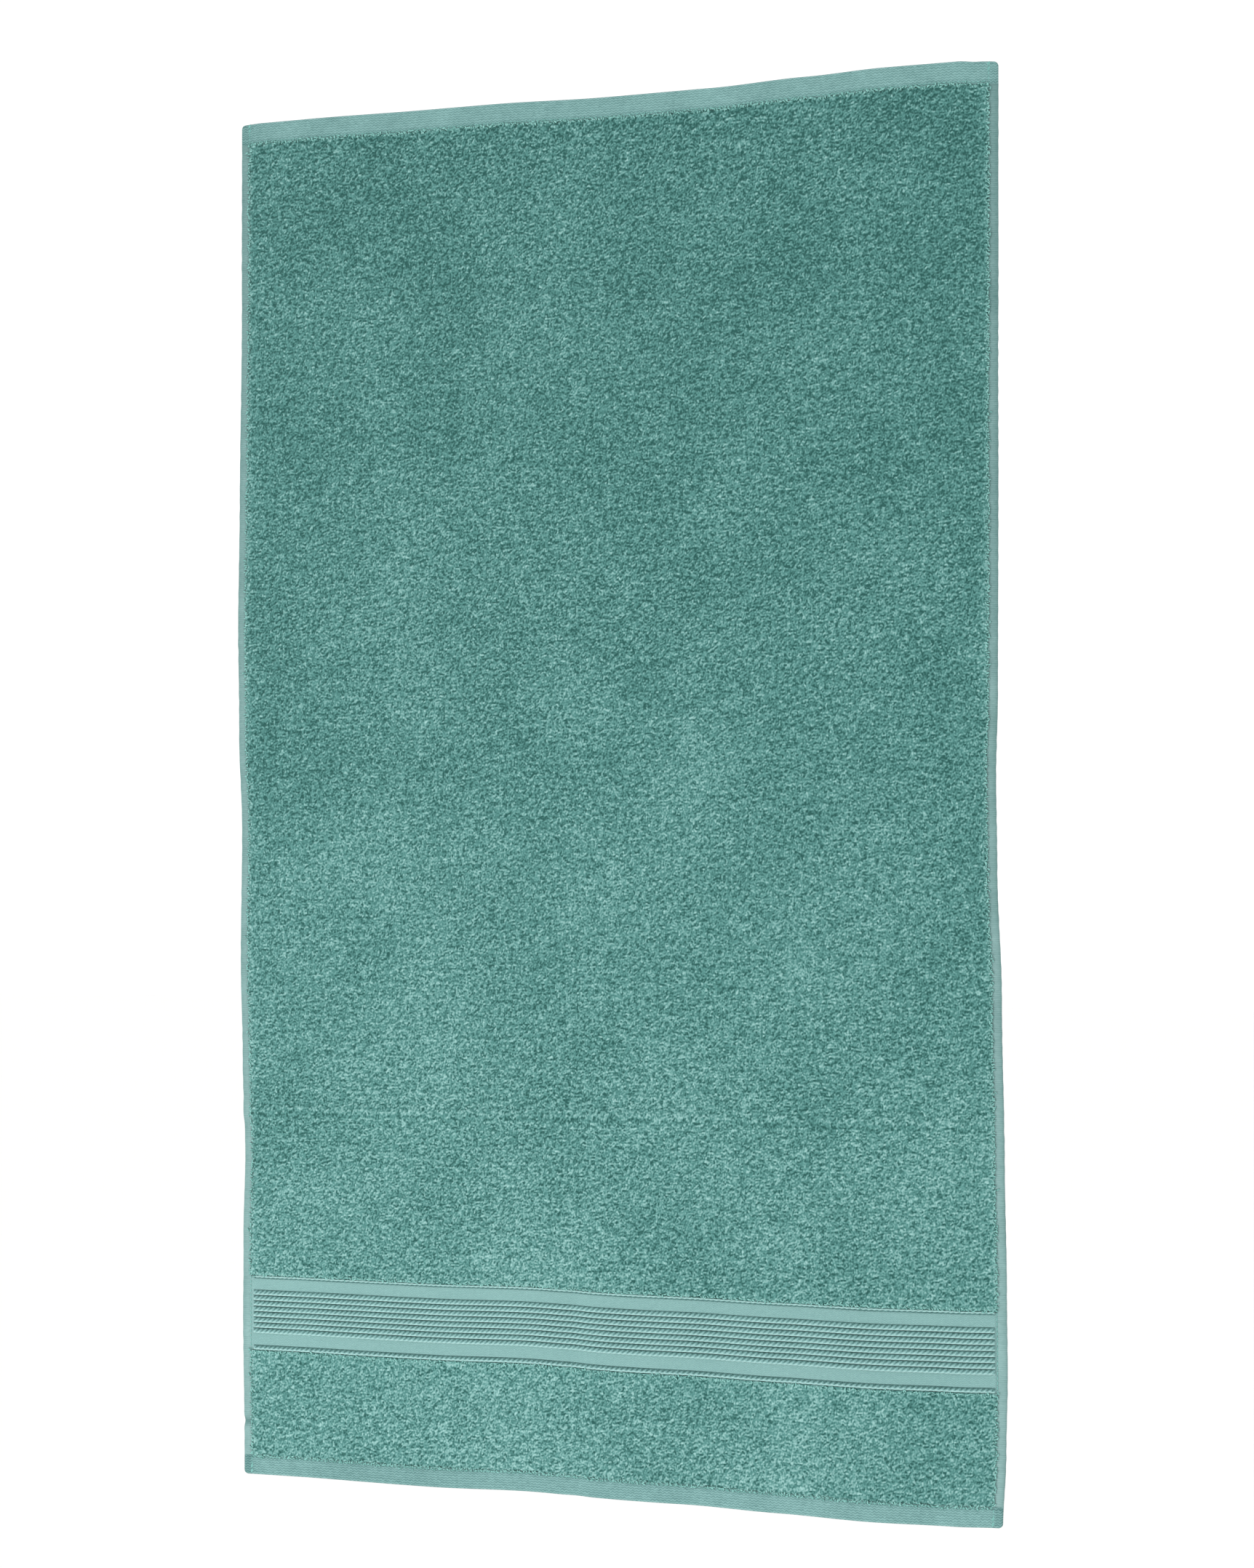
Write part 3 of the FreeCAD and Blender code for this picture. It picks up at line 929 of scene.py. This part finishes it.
SELVEDGE = side_margin()
for name, side in (("side_hem_left", -1), ("side_hem_right", 1)):
    down = np.arange(bottom_hem_top_z - 0.0004, hem_low_z + 0.0004, SIDE_RIB / 3)
    inner, outer = TERRY_HALF - 0.0010, HALF_WIDTH
    front = np.linspace(0, 1, 10)
    share = 1 - (1 - front) ** 1.6
    share = np.concatenate([share, share[-2:0:-1]])
    face = np.concatenate([np.full(len(front), -1.0), np.full(len(front) - 2, 1.0)])
    place = (inner + (outer - inner) * share)[None, :]
    rib = 0.5 + 0.5 * np.cos(2 * math.pi * down / SIDE_RIB)[:, None]
    ragged = RAGGED_EDGE * soft_noise(down, down * 0, 0.007, 63 + side)[:, None]
    edge_roll = shoulder((outer - place) / SIDE_HALF_T)
    drawn_in = SIDE_DRAWN_IN * bump_at(place - SIDE_STITCH_X, 0.0007)
    swell = 0.08 * soft_noise(down[:, None] + 0 * place, place, 0.025, 71 + side)
    pinch = bump_at(down - (TOP - PINCH_DOWN), PINCH_TALL)[:, None] * (side < 0)
    tucked = 0.55 * np.clip((SIDE_STITCH_X - place) / 0.0012, 0, 1)
    thick = (1 - drawn_in - tucked + swell + 0.13 * (rib - 0.5) - 0.45 * pinch) * edge_roll
    rings = np.empty((len(down), len(share), 3))
    rings[:, :, 0] = side * (place + ragged * share[None, :] - 0.0006 * pinch * share[None, :])
    rings[:, :, 1] = face[None, :] * SIDE_HALF_T * np.maximum(thick, 0.0)
    rings[:, :, 2] = down[:, None]
    outward = np.clip((place - SIDE_STITCH_X) / (outer - SIDE_STITCH_X), 0, 1)
    fall = ((TOP - down) / LENGTH)[:, None]
    # Painted light and shade: the margins are painted darker towards the top, more so on the right, as the
    # light falls, with painted shade along the drawn-in stitch line, in the pinch and towards the rolled outer
    # edge.
    relief = 0.11 + 0.37 * fall - side * (0.06 - 0.07 * fall) - 0.3 * drawn_in + 0.26 * rib + 0.5 * swell
    relief = relief - 0.55 * pinch - 0.30 * outward ** 2
    piece, flat = swept(name, rings[None])
    lay(piece, flat, np.clip(relief, 0, 1).ravel())
    finish_piece(piece, SELVEDGE)
    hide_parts(name + "_upper", name + "_lower")
    follow_fold(piece)


# The sewing: one row of lockstitch closes each hem, in a pale aqua spun thread half a millimetre
# thick. A stitch is 2.6 mm long and dives into the cloth at both ends.
STITCH_LENGTH = 0.0026
STITCH_GAP = 0.0004
THREAD = 0.0005
TACK_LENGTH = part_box("backtacks_top")[1][2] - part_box("backtacks_top")[0][2]


def spun_thread():
    """Core-spun sewing thread: smoother than the cloth, so it takes a soft highlight."""
    material, tree, shader = cloth_material("core-spun sewing thread", rough=0.55, sheen=0.1)
    flat = add_node(tree, "ShaderNodeAttribute", attribute_name="flat")
    ply = add_node(
        tree, "ShaderNodeTexNoise", {"Vector": flat.outputs["Vector"]}, in_Scale=700, in_Detail=1.0,
    )
    ramp = add_node(tree, "ShaderNodeValToRGB", {"Fac": ply.outputs["Fac"]})
    ramp.color_ramp.elements[0].color = linear("#5B9690")
    ramp.color_ramp.elements[1].color = linear("#86BDB6")
    tree.links.new(ramp.outputs["Color"], shader.inputs["Base Color"])
    bump = add_node(
        tree, "ShaderNodeBump", {"Height": ply.outputs["Fac"]}, in_Strength=0.3, in_Distance=0.0001,
    )
    tree.links.new(bump.outputs["Normal"], shader.inputs["Normal"])
    return material


def repeated(name, shape, origins, along, outward, sizes):
    """Copies of a small shape, each at its own place, turned and sized its own way, as one piece."""
    points = np.empty(len(shape.data.vertices) * 3)
    shape.data.vertices.foreach_get("co", points)
    points = points.reshape(-1, 3)
    along = along / np.linalg.norm(along, axis=1)[:, None]
    outward = outward - along * np.sum(along * outward, axis=1)[:, None]
    outward = outward / np.linalg.norm(outward, axis=1)[:, None]
    across = np.cross(along, outward)
    flat = origins[:, None, :] + points[None, :, 0:1] * (along * sizes[:, 0:1])[:, None, :]
    flat = flat + points[None, :, 1:2] * (outward * sizes[:, 1:2])[:, None, :]
    flat = flat + points[None, :, 2:3] * (across * sizes[:, 2:3])[:, None, :]
    outline = [list(polygon.vertices) for polygon in shape.data.polygons]
    count = len(points)
    faces = [[v + copy * count for v in corners] for copy in range(len(origins)) for corners in outline]
    return joined_mesh(name, flat.reshape(-1, 3), faces), flat.reshape(-1, 3)


def short_yarn(name):
    """A rounded length of yarn along X, one unit long and thick, to be shaped and copied."""
    bpy.ops.mesh.primitive_uv_sphere_add(
        segments=6, ring_count=4, radius=0.5, rotation=(0, math.radians(90), 0),
    )
    yarn = bpy.context.object
    yarn.name = name
    bpy.ops.object.transform_apply(location=False, rotation=True, scale=False)
    return yarn


one_stitch = short_yarn("one_stitch")
SEWING_THREAD = spun_thread()


def stitch_row(name, starts, ends, face_off):
    """Stitches along straight lines, on both faces. starts and ends are x, z pairs."""
    draw = np.random.default_rng(len(name) * 17 + len(starts))
    origins, along, outward = [], [], []
    for start, end in zip(starts, ends):
        run = np.array(end) - np.array(start)
        length = np.hypot(*run)
        steps = np.arange(STITCH_LENGTH / 2, length, STITCH_LENGTH + STITCH_GAP) / length
        for side in (-1, 1):
            wander = 0.00010 * soft_noise(steps * length, steps * 0, 0.03, 23)
            x = start[0] + run[0] * steps + wander * run[1] / length
            z = start[1] + run[1] * steps - wander * run[0] / length
            origins.append(np.stack([x, side * (face_off(x, z) + 0 * x), z], -1))
            slant = draw.normal(0.05, 0.03, len(x))
            along.append(np.stack([
                run[0] / length + slant * run[1] / length, np.zeros(len(x)),
                run[1] / length - slant * run[0] / length,
            ], -1))
            outward.append(np.tile([0.0, side, 0.0], (len(x), 1)))
    origins, along, outward = np.concatenate(origins), np.concatenate(along), np.concatenate(outward)
    sizes = np.stack([
        np.full(len(origins), STITCH_LENGTH), np.full(len(origins), THREAD * 1.1),
        np.full(len(origins), THREAD * 1.25),
    ], -1)
    piece, flat = repeated(name, one_stitch, origins, along, outward, sizes)
    lay(piece, flat)
    finish_piece(piece, SEWING_THREAD)
    return piece


top_row = HEM_BOX[0][2] + STITCH_INSET
bottom_row = bottom_hem_top_z - STITCH_INSET
row_reach = SIDE_STITCH_X - THREAD
for name, row, body in (
    ("top_hem_stitches", top_row, "towel_body"), ("bottom_hem_stitches", bottom_row, "lower_end"),
):
    piece = stitch_row(name, [(-row_reach, row)], [(row_reach, row)], lambda x, z: HEM_HALF_T * 0.78)
    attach(piece, body)
    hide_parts(name)

tack_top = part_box("backtacks_top")[0][2]
tack_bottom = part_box("backtacks_bottom")[1][2]


def side_face(x, z):
    """How far the cloth stands out along a side row: the end hems are thicker than the margins."""
    on_hem = (z > hem_low_z) | (z < bottom_hem_top_z)
    return np.where(on_hem, HEM_HALF_T * 0.84, SIDE_HALF_T * 0.78)


for name, side in (("side_stitches_left", -1), ("side_stitches_right", 1)):
    x = side * SIDE_STITCH_X
    piece = stitch_row(name, [(x, tack_bottom)], [(x, tack_top)], side_face)
    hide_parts(name + "_upper", name + "_lower")
    follow_fold(piece)

for name, low, body in (
    ("backtacks_top", tack_top, "towel_body"), ("backtacks_bottom", tack_bottom - TACK_LENGTH, "lower_end"),
):
    starts, ends = [], []
    for side in (-1, 1):
        for lane in (-1, 0, 1):
            x = side * SIDE_STITCH_X + lane * THREAD * 0.8
            drop = 0.0004 * lane
            starts.append((x, low + 0.0002 + drop))
            ends.append((x + lane * 0.0001, low + TACK_LENGTH - 0.0004 + drop))
    piece = stitch_row(name, starts, ends, lambda x, z: HEM_HALF_T * 0.88)
    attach(piece, body)
    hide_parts(name)
bpy.data.objects.remove(one_stitch)


# The last loops of the pile: along every edge where the terry stops, single loops stand free and
# lean out over the hems and the border. Each is one bent length of the same soft cotton yarn.
LOOP_EVERY = 0.0011
LOOP_SPAN = 0.0024
YARN_ACROSS = 0.38
LOOP_BEND = 1.5

one_loop = short_yarn("one_loop")
for vertex in one_loop.data.vertices:
    vertex.co.y = vertex.co.y * YARN_ACROSS + LOOP_BEND * (0.12 - vertex.co.x ** 2)
    vertex.co.z = vertex.co.z * YARN_ACROSS


def loop_yarn():
    """Soft-twist cotton yarn standing free of its neighbours: matt, paler than the deep pile, with painted
    shade where it dips to the cloth.
    """
    material, tree, shader = cloth_material("free cotton loop yarn", rough=0.95, sheen=0.0)
    flat = add_node(tree, "ShaderNodeAttribute", attribute_name="flat")
    relief = add_node(tree, "ShaderNodeAttribute", attribute_name="relief")
    ply = add_node(
        tree, "ShaderNodeTexNoise", {"Vector": flat.outputs["Vector"]}, in_Scale=450, in_Detail=2.0,
    )
    tone = add_node(
        tree, "ShaderNodeMath", {0: ply.outputs["Fac"], 1: relief.outputs["Fac"]}, operation="MULTIPLY",
    )
    ramp = add_node(tree, "ShaderNodeValToRGB", {"Fac": tone.outputs[0]})
    ramp.color_ramp.elements[0].color = linear("#35726C")
    ramp.color_ramp.elements[1].color = linear("#A4DAD3")
    tree.links.new(ramp.outputs["Color"], shader.inputs["Base Color"])
    bump = add_node(
        tree, "ShaderNodeBump", {"Height": ply.outputs["Fac"]}, in_Strength=0.2, in_Distance=0.0002,
    )
    tree.links.new(bump.outputs["Normal"], shader.inputs["Normal"])
    return material


FREE_LOOP = loop_yarn()


def edge_loops(name, side, seed):
    """Free loops along the four ends and the two sides of the pile on one face."""
    draw = np.random.default_rng(seed)
    lines = [
        ((-TERRY_HALF, hem_low_z), (TERRY_HALF, hem_low_z), (0, 1), -0.0004),
        ((-TERRY_HALF, BORDER_TOP), (TERRY_HALF, BORDER_TOP), (0, -1), -0.0011),
        ((-TERRY_HALF, BORDER_LOW), (TERRY_HALF, BORDER_LOW), (0, 1), -0.0013),
        ((-TERRY_HALF, bottom_hem_top_z), (TERRY_HALF, bottom_hem_top_z), (0, -1), 0.0003),
        ((-TERRY_HALF, BORDER_TOP), (-TERRY_HALF, hem_low_z), (-1, 0), OVER_LEFT + 0.0002),
        ((TERRY_HALF, BORDER_TOP), (TERRY_HALF, hem_low_z), (1, 0), OVER_RIGHT),
        ((-TERRY_HALF, bottom_hem_top_z), (-TERRY_HALF, BORDER_LOW), (-1, 0), OVER_LEFT),
        ((TERRY_HALF, bottom_hem_top_z), (TERRY_HALF, BORDER_LOW), (1, 0), OVER_RIGHT),
    ]
    origins, along, outward = [], [], []
    for start, end, out, over in lines:
        run = np.array(end) - np.array(start)
        count = int(np.hypot(*run) / LOOP_EVERY)
        share = (np.arange(count) + draw.uniform(-0.3, 1.3, count)) / count
        spill = over + draw.normal(0, 0.0006, count)
        x = start[0] + run[0] * share + out[0] * spill
        z = start[1] + run[1] * share + out[1] * spill
        off = GROUND_FACE + draw.uniform(0.0009, 0.0014, count)
        origins.append(np.stack([x, side * off, z], -1))
        lean = draw.uniform(0.0, 0.8, count)
        outward.append(np.stack([
            out[0] * lean + draw.normal(0, 0.3, count), np.full(count, float(side)),
            out[1] * lean + draw.normal(0, 0.3, count),
        ], -1))
        turn = draw.uniform(0, math.pi, count)
        along.append(np.stack([np.cos(turn), draw.normal(0, 0.15, count), np.sin(turn)], -1))
    origins, along, outward = np.concatenate(origins), np.concatenate(along), np.concatenate(outward)
    size = LOOP_SPAN * draw.uniform(0.75, 1.2, len(origins))
    piece, flat = repeated(name, one_loop, origins, along, outward, np.stack([size, size, size], -1))
    # Painted shade: each loop is painted darker where it dips to the cloth and paler at its tip.
    stand = (side * flat[:, 1] - GROUND_FACE) / (PILE_TIP - GROUND_FACE)
    lay(piece, flat, np.clip(stand, 0, 1) * 0.55 + 0.45)
    finish_piece(piece, FREE_LOOP)
    follow_fold(piece)


edge_loops("front_edge_loops", -1, 5)
edge_loops("back_edge_loops", 1, 6)
bpy.data.objects.remove(one_loop)
